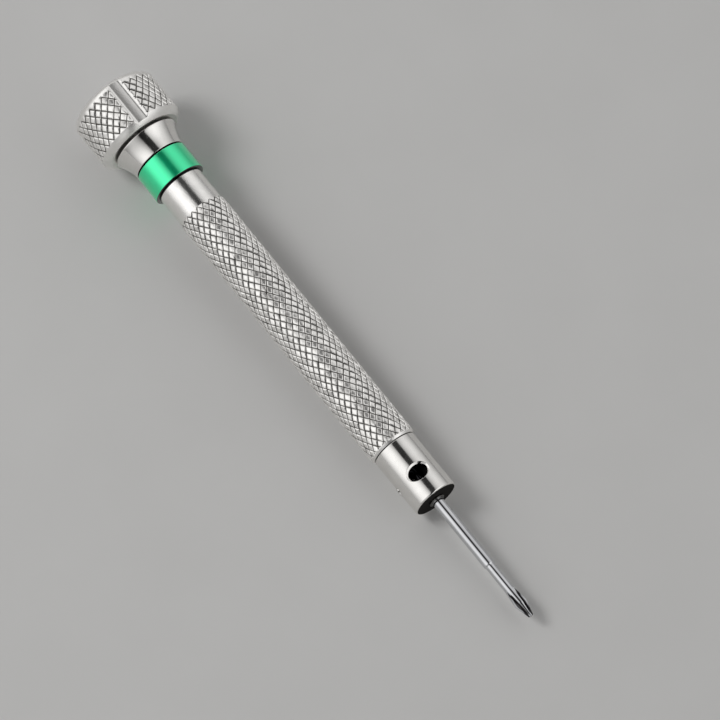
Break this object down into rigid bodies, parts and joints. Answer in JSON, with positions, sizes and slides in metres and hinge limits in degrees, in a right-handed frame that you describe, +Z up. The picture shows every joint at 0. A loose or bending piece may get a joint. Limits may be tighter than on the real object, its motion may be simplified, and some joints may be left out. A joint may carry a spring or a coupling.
{
  "type": "pocket screwdriver",
  "caption": "Slim metal pocket screwdriver with a knurled handle, green colour ring, ball-bearing swivel cap and a removable cross-tip blade.",
  "frame": {"origin": "on the table under the middle of the tool's overall length, with the tool lying at rest on its cap and on the nose collar's front edge", "axes": "+X from the swivel cap to the blade's tip along the table, +Z up, the tool's own axis in the XZ plane and dipping towards the tip"},
  "size_m": [0.1148, 0.0158, 0.0158],
  "materials": {
    "knurled_nickel": "nickel-plated diamond knurl, satin",
    "satin_nickel": "nickel plate over fine turning, satin",
    "green_anodised": "green anodised, satin",
    "blade_steel": "hardened steel, ground and polished",
    "bearing_steel": "ground and polished",
    "zinc_steel": "plain turned steel",
    "spring_steel": "dark spring steel",
    "brass_cage": "pressed brass"
  },
  "bodies": {
    "handle": {"handle_barrel": "knurled_nickel", "colour_ring": "green_anodised", "flared_neck": "satin_nickel", "nose_collar": "satin_nickel", "bearing_inner_ring": "bearing_steel", "bearing_washer": "zinc_steel", "bearing_screw": "zinc_steel"},
    "cap": {"swivel_cap": "knurled_nickel", "cap_disc": "satin_nickel", "bearing_clip": "spring_steel", "bearing_outer_ring": "bearing_steel", "bearing_shield_rear": "zinc_steel", "bearing_shield_front": "zinc_steel"},
    "ball_set": {"bearing_cage": "brass_cage", "bearing_ball_1": "bearing_steel", "bearing_ball_2": "bearing_steel", "bearing_ball_3": "bearing_steel", "bearing_ball_4": "bearing_steel", "bearing_ball_5": "bearing_steel", "bearing_ball_6": "bearing_steel", "bearing_ball_7": "bearing_steel"},
    "blade": {"blade": "blade_steel"},
    "blade_screw": {"blade_screw": "zinc_steel"}
  },
  "joints": [
    {"name": "cap_swivel", "type": "hinge", "parent": "handle", "child": "cap", "pos_m": [-0.05121, 0, 0.00786], "axis": [0.9989, 0, -0.0465], "continuous": true},
    {"name": "ball_set_roll", "type": "hinge", "parent": "handle", "child": "ball_set", "pos_m": [-0.05121, 0, 0.00786], "axis": [0.9989, 0, -0.0465], "continuous": true},
    {"name": "blade_out", "type": "slide", "parent": "handle", "child": "blade", "axis": [0.9989, 0, -0.0465], "range_m": [0, 0.0145]},
    {"name": "blade_screw_out", "type": "slide", "parent": "handle", "child": "blade_screw", "axis": [-0.0057, -0.9925, -0.1217], "range_m": [0, 0.0036]}
  ],
  "couplings": [
    {"joint": "ball_set_roll", "follows": "cap_swivel", "ratio": 0.61429}
  ]
}
